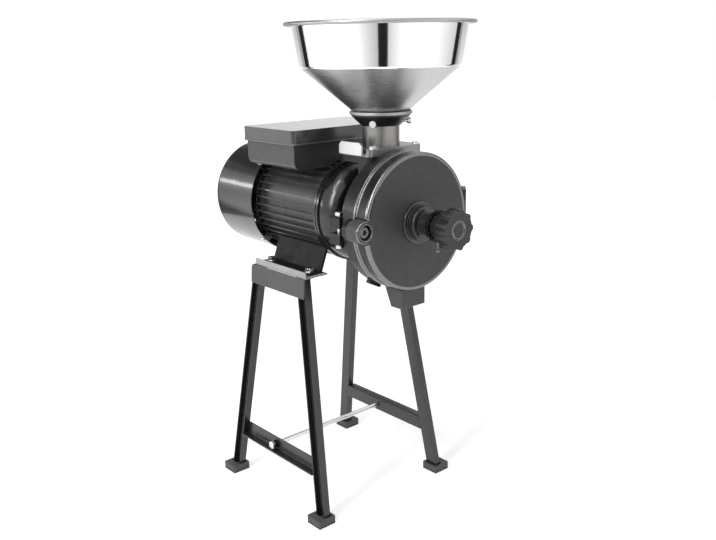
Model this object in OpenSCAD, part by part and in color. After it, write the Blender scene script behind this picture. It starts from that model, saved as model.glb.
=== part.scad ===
/* [Stand] */
// Height of the top of the stand above the floor
stand_h = 400.4; // [300:0.1:420]
// Middle of the stand along the motor axis
stand_y = 42; // [30:1:55]
// Distance from the middle plane to the middle of each rubber foot
foot_x = 135; // [125:1:160]
// Distance between the front and rear feet, middle to middle
foot_spread = 252; // [200:1:300]
// Side of the square rubber feet
foot_side = 34; // [30:1:45]
// Height of the rubber feet
foot_h = 13; // [11:0.5:20]
// Web width of the pressed leg channel
leg_w = 22; // [18:0.5:26]
// Flange depth of the pressed leg channel
leg_d = 13; // [10:0.5:18]
// Sheet thickness of the legs
leg_t = 2.5; // [1.5:0.1:4]
// Middle plane to the inner face of the legs at the top
leg_top_x = 98; // [90:1:110]
// Length of the header plates that join each pair of legs
header_len = 147; // [120:1:180]
// Height of the header plates
header_h = 33; // [25:1:45]
// Height of the lower edge of the cross braces
brace_z = 74; // [60:1:120]
// Height of the upright side of the brace angles
brace_h = 24; // [18:1:30]
// Height of the tie rod
tie_z = 86.5; // [84:0.5:130]
// Radius of the tie rod
tie_r = 4; // [3:0.5:6]
/* [Motor] */
// Height of the motor shaft above the top of the stand
shaft_rise = 98.1; // [92:0.1:110]
// Radius over the cooling fins
fin_r = 82; // [80:0.5:84]
// Length of the finned motor body
motor_len = 158; // [140:1:170]
// Front end of the finned body along the axis
motor_y = -22; // [-26:1:-18]
// Outer radius of the fan cover at its front edge
fan_cover_r = 95.5; // [92:0.5:100]
// Length of the fan cover
fan_cover_len = 121; // [110:1:130]
// Radius of the motor shaft
shaft_r = 12; // [10:0.5:13]
// Half width of the capacitor box
box_half_w = 107; // [90:1:112]
// Length of the capacitor box along the motor
box_len = 127; // [110:1:135]
// Height of the top of the capacitor box lid above the motor shaft
box_rise = 135.5; // [128:0.5:150]
/* [Mill] */
// Radius of the grinding drum
drum_r = 105; // [100:0.5:112]
// Depth of the grinding drum behind its joint face
drum_depth = 29; // [26:0.5:34]
// Joint face between drum and front cover
joint_y = -148.8; // [-152:0.2:-146]
// Depth of the front cover
cover_depth = 24.6; // [22:0.2:30]
// Radius of the grinding burrs
burr_r = 75; // [60:1:85]
// Radius of the adjusting knob over its lobes
knob_r = 30.8; // [26:0.2:36]
// Thread pitch of the adjusting screw
screw_pitch = 1.5; // [1:0.25:2]
/* [Hopper] */
// Radius over the rolled rim of the hopper
hopper_r = 145; // [120:1:160]
// Height of the hopper rim above the motor shaft
hopper_rise = 295.5; // [280:0.5:320]
// Sheet thickness of the hopper
hopper_t = 1.2; // [0.8:0.1:2]
// Outer radius of the neck tube
neck_r = 28.7; // [27:0.1:30]
// Axis of hopper and neck tube along the motor axis
hopper_y = -92.5; // [-95:0.5:-90]
/* [Hidden] */

$fn = 64;
// Overrun of cutting shapes, gap at a seat, and radial gap of a running fit
cut = 1;
seat = 0.3;
fit = 0.08;
// Heights of the main parts above the floor
axis_h = stand_h + shaft_rise;
box_top = axis_h + box_rise;
hopper_top = axis_h + hopper_rise;
// Metal sizes shared by the stand
plate_t = 3;
header_corner = 8;
brace_flange = 16;
base_w = 46;
base_flange_h = 11.4;
base_setback = 9;
// Foot socket that the leg stands in
socket_floor = 6;
socket_gap = 1.6;
foot_offset = 4.5;
tread_pitch = 5.6;
tread_w = 2.4;
tread_depth = 1.6;
tread_h = 4.5;
// Hexagon sizes as radii over the corners
hex_small = 5.2;
hex_mid = 7.5;
hex_h = 5;
// Leg geometry from the driving sizes
leg_bottom_x = foot_x - foot_offset - leg_d / 2;
leg_drop = stand_h - socket_floor;
leg_tilt = atan((leg_bottom_x - leg_top_x) / leg_drop);
leg_inset = 3;
leg_top_dy = header_len / 2 - leg_inset - leg_w / 2;
leg_splay = atan((foot_spread / 2 - leg_top_dy) / leg_drop);
leg_extra = 20;
tie_y = stand_y + 14;
base_outer_x = leg_top_x + leg_d;
base_inner_x = base_outer_x - base_w;
base_len = header_len - base_setback;
base_front = stand_y - header_len / 2;
// Motor sizes
body_r = 76;
bore_r = 71;
fin_count = 40;
fin_t = 2.2;
bell_ring_rise = 1.7;
bell_ring_r = fin_r + bell_ring_rise;
motor_rear = motor_y + motor_len;
stator_inner_r = 40.5;
rotor_gap = 0.5;
stator_len = 92;
stator_mid = motor_y + motor_len / 2;
bell_t = 6;
bell_rear_len = 16;
housing_len = 84.8;
bell_nose_y = joint_y + housing_len;
bell_nose_r = 60;
bearing_r = 26;
bearing_w = 14;
front_bearing_y = bell_nose_y + bell_t + bearing_w / 2;
rear_bearing_setback = 4;
rear_bearing_y = motor_rear + rear_bearing_setback;
fan_wall = 1.6;
fan_shoulder = 14;
fan_rear_drop = 2.2;
fan_setback = 34;
fan_y = motor_rear + fan_setback;
fan_w = 34;
fan_blades = 8;
fan_clear = 8;
grille_rings = 5;
grille_pitch = 12;
grille_first = 20;
grille_slot = 5;
grille_rib = 9;
motor_foot_t = 4;
motor_foot_len = 128;
motor_foot_drop = 52.5;
motor_foot_top = axis_h - motor_foot_drop;
motor_foot_x = 61;
motor_foot_bend_x = 77;
motor_foot_end_x = 100;
foot_bolt_x = 89.5;
foot_bolt_r = 4;
foot_bolt_dy = 52;
// Capacitor box sizes
box_setback = 13.1;
box_y = motor_y + box_setback;
box_wall = 2;
box_floor_rise = 72.5;
box_floor = axis_h + box_floor_rise;
box_corner = 14;
lid_h = 23;
lid_over = 5;
lid_corner = 7;
capacitor_r = 19;
capacitor_len = 84;
switch_w = 22;
switch_h = 20;
switch_drop = 13;
switch_d = 14;
gland_r = 11;
gland_len = 22;
gland_bore = 4.5;
// Mill sizes
wall = 7;
neck_body_r = 92;
neck_rear_y = bell_nose_y - seat;
neck_flange_t = 8;
back_len = 18;
throat_half = 28;
drum_rear_y = joint_y + drum_depth;
back_rear_y = drum_rear_y + back_len;
feed_r = 22;
feed_wall = 5;
flange_x = 112;
flange_dy = 69;
flange_corner = 9;
cast_flange_h = 10;
cast_flange_sink = 2.5;
cast_flange_z = axis_h + neck_body_r - cast_flange_sink;
inlet_z = cast_flange_z + cast_flange_h;
inlet_h = 11;
gate_wing = 1.2;
thin_head = 1;
neck_tube_wall = 2.2;
flange_bolt_x = 46;
flange_bolt_y = 29.5;
flange_bolt_r = 2.6;
gate_floor = 2;
gate_t = 2.8;
gate_slot = 3.4;
gate_half = 24.4;
gate_gap = 0.4;
gate_in = feed_r + 6;
gate_handle_x = flange_x / 2 + 5;
gate_handle_h = 19;
gate_handle_corner = 7;
ear_out = 1;
ear_x = -drum_r - ear_out;
ear_r = 16.5;
ear_t = 10;
lug_r = 17;
lug_bore = 4.4;
lug_counterbore = 11.5;
lug_counterbore_depth = 9;
clamp_ahead = 13;
clamp_y = hopper_y - clamp_ahead;
clamp_w = 24;
clamp_out = 7;
clamp_x = -neck_body_r - clamp_out;
clamp_reach = neck_body_r + clamp_out + ear_t;
clamp_split_z = -7;
clamp_split = 9;
clamp_ear_h = 18;
clamp_bolt_r = 3.2;
hinge_out = 8;
hinge_ahead = 9.2;
hinge_x = drum_r + hinge_out;
hinge_y = joint_y - hinge_ahead;
hinge_r = 8;
hinge_pin_r = 4;
hinge_half = 19;
hinge_knuckle = 15;
hinge_gap = 0.4;
chute_w = 51;
chute_d = 25;
chute_wall = 3;
chute_ahead = 14.2;
chute_drop = 31.5;
chute_front = joint_y - chute_ahead;
chute_bottom = axis_h - drum_r - chute_drop;
chute_fin_d = 16;
outlet_w = 36;
burr_t = 12;
burr_gap = 1;
burr_bore = 27.5;
burr_grooves = 12;
burr_groove_w = 5;
burr_groove_depth = 2.5;
burr_hub_r = 18;
burr_hub_len = 6;
burr_cap = 2;
burr_end_play = 1.5;
nose_r = 9;
auger_r = 20.5;
auger_core = 12.4;
auger_turns = 2;
cover_wall = 5;
cover_round = 5;
boss_ring_r = 32.7;
boss_ring_h = 4;
boss_r = 27;
boss_h = 17;
sleeve_r = 17;
sleeve_h = 35;
screw_r = 6;
lock_gap = 3;
lock_y = joint_y - cover_depth - sleeve_h - lock_gap;
lock_r = 24;
lock_t = 5;
lever_r = 2;
lever_len = 13;
ball_r = 3.7;
knob_hub_r = 20;
knob_hub_h = 19;
knob_gap = 0.6;
knob_h = 21;
knob_lobes = 9;
knob_lobe_r = 6;
knob_recess_r = 15;
knob_recess = 4;
// Hopper sizes
rim_roll = 3;
rim_w = 12;
band_top_r = hopper_r - rim_w;
band_h = 62;
band_taper = 10.2;
crease_r = band_top_r - band_taper;
cone_h = 66.7;
cone_bottom_r = 44.5;
spigot_gap = 0.8;
spigot_r = neck_r - neck_tube_wall - spigot_gap;
spigot_len = 34;
ring_r = 48.7;
ring_h = 5.3;
collar_h = 17;
collar_top_r = 46;
collar_z = hopper_top - rim_roll - band_h - cone_h - ring_h - collar_h;
neck_tube_len = collar_z + collar_h - inlet_z - inlet_h - seat;
thumb_angles = [-148, -28, 92];
thumb_r = 2.4;
thumb_head_r = 5;
thumb_head_h = 5;
thumb_neck = 11.5;
thumb_z = 5;
thumb_overlap = 2;
collar_lip = 1.5;
collar_band = 2;
// Small sizes of the motor and its box
bell_lip = 4;
bell_groove = 2;
bell_step = 3;
bell_lug_half = 7;
winding_len = 12;
screw_head_r = 4;
screw_head_top = 3;
screw_head_h = 2.4;
bezel_t = 2.5;
bezel_w = 2;
key_wall = 3;
key_h = 13;
key_root = 1;
key_low = 4;
key_mid = 2.6;
key_high = 5.4;
key_round = 1;
key_pin_r = 2;
gland_thread = 2.5;
gland_inside = 8;
shaft_tail = 8;
fan_hub = 8;
fan_disc = 3;
blade_t = 3;
// Small sizes of the mill
nut_gap = 0.7;
housing_bolt_r = 50;
housing_bolt_angles = [40, 140, 220, 320];
groove_start = 2;
ear_bore_gap = 1.4;
ear_corner = 5;
pad_w = 26;
pad_angle = 116;
pad_h = 6;
knob_ribs = 18;
knob_rib_r = 1.5;
lock_notches = 12;
notch_r = 3;
notch_out = 1;
bolt_head_t = 5.5;
bolt_head_gap = 3.5;
// Places worked out from the sizes above
tie_face_x = leg_top_x + (stand_h - tie_z) * tan(leg_tilt) + plate_t / cos(leg_tilt);
switch_z = box_top - lid_h - switch_drop;
switch_offset = box_len / 4;
fixed_burr_y = drum_rear_y - wall;
burr_face_y = fixed_burr_y - seat - burr_t;
burr_end_y = burr_face_y - burr_gap - burr_t - burr_hub_len;
screw_tip_y = burr_end_y - seat;
knob_hub_y = lock_y - lock_t - knob_gap;
knob_front_y = knob_hub_y - knob_hub_h - knob_h;
bolt_seat_y = joint_y - cover_depth + lug_counterbore_depth;

function side_of(left) = left ? -1 : 1;

// Turns a shape drawn along +Z so that it points to the front, with its base on the motor axis at y
module on_axis(y) {
    translate([0, y, axis_h]) rotate([90, 0, 0]) children();
}

module hex_head(r, h) {
    cylinder(r = r, h = h, $fn = 6);
}

// Flat plate with rounded corners, standing on the plane z = 0
module rounded_plate(w, d, h, r) {
    linear_extrude(h) rounded_outline(w, d, r);
}

module rounded_outline(w, d, r) {
    square([w - 2 * r, d], center = true);
    square([w, d - 2 * r], center = true);
    for (sx = [-1, 1], sy = [-1, 1]) translate([sx * (w / 2 - r), sy * (d / 2 - r)]) circle(r);
}

// Frame of one stand side: X points outward from the legs' inner face, tilted with the legs
module stand_side(left) {
    mirror([left ? 1 : 0, 0, 0]) translate([leg_top_x, stand_y, stand_h]) rotate([0, -leg_tilt, 0]) children();
}

module below_top() {
    difference() {
        children();
        translate([-foot_x * 2, -foot_spread, stand_h]) cube([foot_x * 4, foot_spread * 2, leg_extra * 4]);
    }
}

// Rubber foot: a square pad with a socket for the leg and a notched edge
module foot(left, rear) {
    fy = stand_y + (rear ? 1 : -1) * foot_spread / 2;
    count = floor((foot_side - tread_w) / tread_pitch / 2);
    color("dimgray") translate([side_of(left) * foot_x, fy, 0]) difference() {
        rounded_plate(foot_side, foot_side, foot_h, plate_t);
        translate([-side_of(left) * foot_offset, 0, socket_floor])
            rounded_plate(leg_d + 2 * socket_gap, leg_w + 2 * socket_gap, foot_h, socket_gap);
        for (turn = [0:90:270], i = [-count:count]) rotate([0, 0, turn])
            translate([foot_side / 2 - tread_depth, i * tread_pitch - tread_w / 2, -cut])
                cube([tread_depth + cut, tread_w, tread_h + cut]);
    }
}

// Pressed channel leg that leans outward and along the motor axis, open to the outside
module leg(left, rear) {
    along = rear ? 1 : -1;
    color("#2b2b2d") difference() {
        below_top() stand_side(left) translate([0, along * leg_top_dy, 0]) rotate([along * leg_splay, 0, 0])
            translate([0, -leg_w / 2, -leg_drop - leg_extra]) linear_extrude(leg_drop + 2 * leg_extra) channel();
        translate([-foot_x * 2, -foot_spread, socket_floor - leg_extra * 3])
            cube([foot_x * 4, foot_spread * 2, leg_extra * 3]);
    }
}

module channel() {
    difference() {
        square([leg_d, leg_w]);
        translate([leg_t, leg_t]) square([leg_d, leg_w - 2 * leg_t]);
    }
}

// Header plate on the outside of the leg pair, with a rounded rear corner
module header(left) {
    color("#4a4a4c") below_top() stand_side(left) translate([leg_d, 0, 0]) rotate([90, 0, 90])
        linear_extrude(plate_t) {
            translate([-header_len / 2, -header_h]) square([header_len - header_corner, header_h + leg_extra]);
            translate([-header_len / 2, -header_h]) square([header_len, header_h - header_corner]);
            translate([header_len / 2 - header_corner, -header_corner]) circle(header_corner);
        }
}

// Cross brace: an angle between the legs, its flange below on the left side and above on the right
module brace(left) {
    low = brace_z - stand_h;
    half = leg_top_dy + (stand_h - brace_z - brace_h) * tan(leg_splay) - leg_w / 2 - seat;
    slant = brace_h * tan(leg_splay);
    flange_z = left ? low : low + brace_h - plate_t;
    color("#3c3c3e") difference() {
        stand_side(left) intersection() {
            union() {
                translate([0, -header_len, low]) cube([plate_t, header_len * 2, brace_h]);
                translate([0, -header_len, flange_z]) cube([brace_flange, header_len * 2, plate_t]);
            }
            translate([-cut, 0, low]) rotate([90, 0, 90]) linear_extrude(brace_flange + 2 * cut)
                polygon([[-half - slant, 0], [half + slant, 0], [half, brace_h], [-half, brace_h]]);
        }
        translate([0, tie_y, tie_z]) rotate([0, 90, 0])
            cylinder(r = tie_r + seat, h = foot_x * 3, center = true);
    }
}

module tie_rod() {
    half = tie_face_x + hex_h * 2 + nut_gap;
    color("gainsboro") translate([-half, tie_y, tie_z]) rotate([0, 90, 0]) {
        cylinder(r = tie_r, h = 2 * half);
        hex_head(hex_mid, hex_h);
        translate([0, 0, 2 * half - hex_h]) hex_head(hex_mid, hex_h);
    }
}

module tie_nuts() {
    color("#333") for (sx = [-1, 1]) translate([sx * (tie_face_x + nut_gap), tie_y, tie_z])
        rotate([0, sx * 90, 0]) difference() {
            hex_head(hex_mid, hex_h - seat);
            translate([0, 0, -cut]) cylinder(r = tie_r + fit, h = hex_h + 2 * cut);
        }
}

// Base angle across the top of each side, with its outer flange turned up
module base_angle(left) {
    color("#8c8c8e") mirror([left ? 1 : 0, 0, 0]) difference() {
        translate([base_inner_x, base_front, stand_h]) union() {
            cube([base_w, base_len, plate_t]);
            translate([base_w - plate_t, 0, 0]) cube([plate_t, base_len, base_flange_h]);
        }
        foot_bolt_places() translate([0, 0, -base_flange_h]) cylinder(r = foot_bolt_r + seat, h = base_flange_h * 2);
    }
}

module foot_bolt_places() {
    for (dy = [-1, 1]) translate([foot_bolt_x, stand_y - base_setback / 2 + dy * foot_bolt_dy, stand_h + plate_t])
        children();
}

// Motor foot: a plate down the side of the motor that flares out and turns flat on the base angle
module motor_foot(left) {
    z0 = stand_h + plate_t;
    t = motor_foot_t;
    color("#555") mirror([left ? 1 : 0, 0, 0]) difference() {
        translate([0, stand_y - base_setback / 2 + motor_foot_len / 2, 0]) rotate([90, 0, 0])
            linear_extrude(motor_foot_len) polygon([
                [motor_foot_end_x, z0], [motor_foot_bend_x - t, z0], [motor_foot_x - t, motor_foot_top],
                [motor_foot_x, motor_foot_top + t], [motor_foot_bend_x, z0 + t], [motor_foot_end_x, z0 + t]]);
        on_axis(motor_rear + motor_len) cylinder(r = fin_r + seat, h = motor_len * 3);
        on_axis(motor_y + seat) cylinder(r = bell_ring_r + seat, h = motor_len);
        foot_bolt_places() translate([0, 0, -cut]) cylinder(r = foot_bolt_r + seat, h = t + 2 * cut);
    }
}

module foot_bolts() {
    color("gainsboro") for (m = [0, 1]) mirror([m, 0, 0]) foot_bolt_places() {
        translate([0, 0, -plate_t - hex_h]) hex_head(hex_mid, hex_h);
        translate([0, 0, -plate_t]) cylinder(r = foot_bolt_r, h = plate_t + motor_foot_t);
        translate([0, 0, motor_foot_t]) cylinder(r = hex_mid + nut_gap, h = nut_gap);
        translate([0, 0, motor_foot_t + nut_gap]) hex_head(hex_mid, hex_h);
    }
}

// Finned stator frame
module motor_frame() {
    color("#2a2a2c") on_axis(motor_rear) difference() {
        linear_extrude(motor_len) difference() {
            union() {
                circle(body_r);
                intersection() {
                    circle(fin_r);
                    for (i = [0:fin_count - 1]) rotate(i * 360 / fin_count) translate([0, -fin_t / 2])
                        square([fin_r, fin_t]);
                }
            }
            circle(bore_r);
        }
    }
}

// Front end bell: two rings, a rounded bulge and a nose flange for the mill housing
module front_bell() {
    len = motor_y - bell_nose_y;
    lip = bell_lip;
    bulge = bell_ring_r - bell_step - bell_nose_r;
    color("#1d1d1f") difference() {
        on_axis(motor_y) rotate_extrude() difference() {
            union() {
                square([bell_ring_r, lip]);
                translate([0, lip]) square([bell_ring_r - bell_groove, lip / 2]);
                translate([0, lip * 1.5]) square([bell_ring_r, lip]);
                translate([0, lip * 2]) intersection() {
                    translate([bell_nose_r, 0]) scale([1, (len - lip * 2) / bulge]) circle(bulge);
                    square([bell_ring_r, len]);
                }
                square([bell_nose_r, len]);
            }
            translate([0, -cut]) square([bearing_r + seat, len - bell_t + cut]);
            translate([0, -cut]) square([bell_nose_r - bell_t, len - bell_t * 3 - bearing_w + cut]);
            square([shaft_r + nut_gap, len + cut]);
        }
        housing_bolt_places(bell_nose_y + bell_t * 2) cylinder(r = flange_bolt_r + seat, h = bell_t * 3);
    }
}

module housing_bolt_places(y) {
    on_axis(y) for (a = housing_bolt_angles) rotate([0, 0, a]) translate([housing_bolt_r, 0, 0]) children();
}

module rear_bell() {
    color("#2a2a2c") on_axis(motor_rear + bell_rear_len) difference() {
        union() {
            cylinder(r = bell_ring_r, h = bell_rear_len);
            for (a = [45:90:315]) rotate([0, 0, a]) translate([0, -bell_lug_half, 0])
                cube([fan_cover_r - fan_wall - seat * 3, bell_lug_half * 2, bell_rear_len - seat]);
        }
        translate([0, 0, bell_t]) difference() {
            cylinder(r = bore_r, h = bell_rear_len);
            cylinder(r = bearing_r + bell_t, h = bell_rear_len);
        }
        translate([0, 0, bell_t / 2]) cylinder(r = bearing_r + seat, h = bell_rear_len);
        translate([0, 0, -cut]) cylinder(r = shaft_r + nut_gap, h = bell_rear_len);
    }
}

module bearing(y) {
    color("silver") on_axis(y + bearing_w / 2) difference() {
        cylinder(r = bearing_r, h = bearing_w - seat);
        translate([0, 0, -cut]) cylinder(r = shaft_r + fit, h = bearing_w + 2 * cut);
    }
}

// Stator core with its end windings
module stator() {
    winding = winding_len;
    color("peru") on_axis(stator_mid + stator_len / 2 + winding) difference() {
        union() {
            translate([0, 0, winding]) cylinder(r = bore_r - seat, h = stator_len);
            cylinder(r = bore_r - winding / 2, h = stator_len + 2 * winding);
        }
        translate([0, 0, -cut]) cylinder(r = stator_inner_r, h = stator_len + 2 * winding + 2 * cut);
    }
}

// Fan cover: a drawn sheet cap with a rounded rear edge and a grille of ring slots
module fan_cover() {
    r = fan_cover_r;
    rear_r = r - fan_rear_drop;
    color("#161617") difference() {
        on_axis(motor_rear + fan_cover_len) rotate_extrude() difference() {
            fan_outline(rear_r, r, fan_cover_len, fan_shoulder);
            translate([0, fan_wall])
                fan_outline(rear_r - fan_wall, r - fan_wall, fan_cover_len, fan_shoulder - fan_wall);
        }
        on_axis(motor_rear + fan_cover_len + cut) difference() {
            for (i = [0:grille_rings - 1]) difference() {
                cylinder(r = grille_first + i * grille_pitch + grille_slot, h = fan_wall + 2 * cut);
                translate([0, 0, -cut]) cylinder(r = grille_first + i * grille_pitch, h = fan_wall * 3 + cut * 2);
            }
            for (a = [0:45:135]) rotate([0, 0, a]) translate([-r, -grille_rib / 2, -cut])
                cube([2 * r, grille_rib, fan_wall * 4 + cut]);
        }
    }
}

module fan_outline(r1, r2, len, round) {
    square([r1 - round, round]);
    translate([r1 - round, round]) circle(round);
    polygon([[0, round], [r1, round], [r2, len + cut], [0, len + cut]]);
}

module fan_cover_screws() {
    color("gainsboro") for (a = [45:90:315]) translate([0, motor_rear + bell_rear_len / 2, axis_h])
        rotate([0, a, 0]) translate([fan_cover_r + seat, 0, 0]) rotate([0, 90, 0])
            cylinder(r1 = screw_head_r, r2 = screw_head_top, h = screw_head_h);
}

// Capacitor box: saddle over the motor, open above
module capacitor_box() {
    h = box_top - lid_h - box_floor;
    color("#3a3a3c") translate([0, box_y + box_len / 2, 0]) difference() {
        box_shape(box_half_w, box_len, h + lid_h - box_wall - seat, 0);
        translate([0, 0, box_wall])
            box_shape(box_half_w - box_wall, box_len - 2 * box_wall, h + lid_h, box_wall);
        translate([box_half_w, -switch_offset, switch_z]) cube([8 * box_wall, switch_w, switch_h], center = true);
        translate([box_half_w, switch_offset, switch_z]) rotate([0, 90, 0])
            cylinder(r = gland_r - bezel_w, h = 8 * box_wall, center = true);
    }
}

// Block with rounded lower corners and the round cut over the motor; inset moves the cut inward
module box_shape(half, len, h, inset) {
    r = box_corner - inset;
    translate([0, len / 2, box_floor]) rotate([90, 0, 0]) linear_extrude(len) difference() {
        union() {
            translate([-half, r]) square([2 * half, h - r]);
            translate([r - half, 0]) square([2 * (half - r), h]);
            for (sx = [-1, 1]) translate([sx * (half - r), r]) circle(r);
        }
        translate([0, axis_h - box_floor - inset]) circle(fin_r + seat + 2 * inset);
    }
}

module capacitor_box_lid() {
    w = 2 * (box_half_w + lid_over);
    d = box_len + 2 * lid_over;
    t = box_wall;
    color("#9a9a9c") translate([0, box_y + box_len / 2, box_top - lid_h]) difference() {
        rounded_plate(w, d, lid_h, lid_corner);
        translate([0, 0, -t]) rounded_plate(w - 2 * t, d - 2 * t, lid_h, lid_corner - t);
    }
}

module capacitors() {
    z = axis_h + fin_r + box_wall * 2 + capacitor_r + 2 * seat;
    color("silver") for (dy = [-1, 1]) translate([-capacitor_len / 2, box_y + box_len / 2 + dy * box_len / 4, z])
        rotate([0, 90, 0]) cylinder(r = capacitor_r, h = capacitor_len);
}

module power_switch() {
    w = switch_w + 2 * bezel_w;
    h = switch_h + 2 * bezel_w;
    color("#222") translate([box_half_w + seat, box_y + box_len / 2 - switch_offset, switch_z]) difference() {
        union() {
            translate([0, -w / 2, -h / 2]) cube([bezel_t, w, h]);
            translate([-switch_d, -switch_w / 2 + seat, -switch_h / 2 + seat])
                cube([switch_d + bezel_t / 2, switch_w - 2 * seat, switch_h - 2 * seat]);
        }
        translate([-switch_d / 2, -switch_w / 2 + key_wall, -switch_h / 2 + key_wall])
            cube([switch_d, switch_w - 2 * key_wall, switch_h - 2 * key_wall]);
    }
}

// Rocker key in the switch, turning about its middle
module switch_rocker() {
    w = switch_w - 2 * key_wall - 2 * seat;
    color("crimson") translate([box_half_w, box_y + box_len / 2 - switch_offset, switch_z])
        rotate([90, 0, 0]) translate([0, 0, -w / 2]) {
            linear_extrude(w) polygon([[-key_root, -key_h / 2], [key_low, -key_h / 2 + key_round], [key_mid, 0],
                [key_high, key_h / 2 - key_round], [-key_root, key_h / 2]]);
            translate([0, 0, -seat / 2]) cylinder(r = key_pin_r, h = w + seat);
        }
}

module cable_gland() {
    color("#222") translate([box_half_w, box_y + box_len / 2 + switch_offset, switch_z]) rotate([0, 90, 0])
        difference() {
            union() {
                translate([0, 0, seat]) cylinder(r = gland_r, h = gland_len / 3, $fn = 6);
                cylinder(r = gland_r - gland_thread, h = gland_len);
                translate([0, 0, -gland_inside]) cylinder(r = gland_r - gland_thread, h = gland_len / 2);
            }
            translate([0, 0, -gland_len]) cylinder(r = gland_bore, h = gland_len * 3);
        }
}

// Bolts through the neck flange that hold the housing to the nose of the front bell
module housing_bolts() {
    color("gainsboro") {
        housing_bolt_places(neck_rear_y - neck_flange_t - seat) hex_head(hex_mid, hex_h);
        housing_bolt_places(bell_nose_y + bell_t)
            cylinder(r = flange_bolt_r, h = bell_t + neck_flange_t + 2 * seat + thin_head);
    }
}

// Shaft: thick through the motor, thin nose for auger and burr
module motor_shaft() {
    tail = shaft_tail;
    color("silver") {
        on_axis(fan_y + fan_w / 2 + tail) cylinder(r = shaft_r, h = fan_y + fan_w / 2 + tail - neck_rear_y);
        on_axis(neck_rear_y) cylinder(r = nose_r, h = neck_rear_y - burr_end_y - burr_cap - burr_end_play);
    }
}

module rotor_core() {
    color("gray") on_axis(stator_mid + stator_len / 2) difference() {
        cylinder(r = stator_inner_r - rotor_gap, h = stator_len);
        translate([0, 0, -cut]) cylinder(r = shaft_r + fit, h = stator_len + 2 * cut);
    }
}

module cooling_fan() {
    r = fan_cover_r - fan_rear_drop - fan_wall - fan_clear;
    color("#333") on_axis(fan_y + fan_w / 2) difference() {
        union() {
            cylinder(r = shaft_r + fan_hub, h = fan_w);
            translate([0, 0, fan_w - fan_disc - seat]) cylinder(r = r * 0.85, h = fan_disc);
            for (i = [0:fan_blades - 1]) rotate([0, 0, i * 360 / fan_blades])
                translate([0, -blade_t / 2, seat]) cube([r, blade_t, fan_w - fan_disc]);
        }
        translate([0, 0, -cut]) cylinder(r = shaft_r + fit, h = fan_w + 2 * cut);
    }
}

// Feed screw in the throat tube
module feed_auger() {
    len = neck_rear_y - drum_rear_y - 2 * wall;
    color("silver") on_axis(neck_rear_y - wall - seat) difference() {
        union() {
            cylinder(r = auger_core, h = len);
            linear_extrude(len, twist = 360 * auger_turns, slices = 16 * auger_turns, $fn = 8)
                translate([0, -fin_t]) square([auger_r, fin_t * 2]);
        }
        translate([0, 0, -cut]) cylinder(r = nose_r + fit, h = len + 2 * cut);
    }
}

module burr_ring(bore) {
    difference() {
        cylinder(r = burr_r, h = burr_t);
        translate([0, 0, -cut]) cylinder(r = bore, h = burr_t + 2 * cut);
        for (i = [0:burr_grooves - 1]) rotate([0, 0, i * 360 / burr_grooves])
            translate([burr_bore + groove_start, 0, burr_t - burr_groove_depth]) rotate([0, 0, 20])
                cube([burr_r, burr_groove_w, burr_groove_depth + cut]);
    }
}

module fixed_burr() {
    color("gray") on_axis(fixed_burr_y - seat) burr_ring(burr_bore);
}

module rotating_burr() {
    color("gray") {
        on_axis(burr_face_y - burr_gap - burr_t) rotate([180, 0, 0]) burr_ring(nose_r + fit);
        on_axis(burr_face_y - burr_gap - burr_t) difference() {
            cylinder(r = burr_hub_r, h = burr_hub_len);
            translate([0, 0, -cut]) cylinder(r = nose_r + fit, h = burr_hub_len - burr_cap + cut);
        }
    }
}

// Outline of lug and hinge webs against the drum, seen from the front
module side_web(x, r, y, t) {
    on_axis(y) linear_extrude(t) polygon([
        [x, r], [x, -r], [sign(x) * (drum_r - wall), -r * 1.5], [sign(x) * (drum_r - wall), r * 1.5]]);
}

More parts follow.
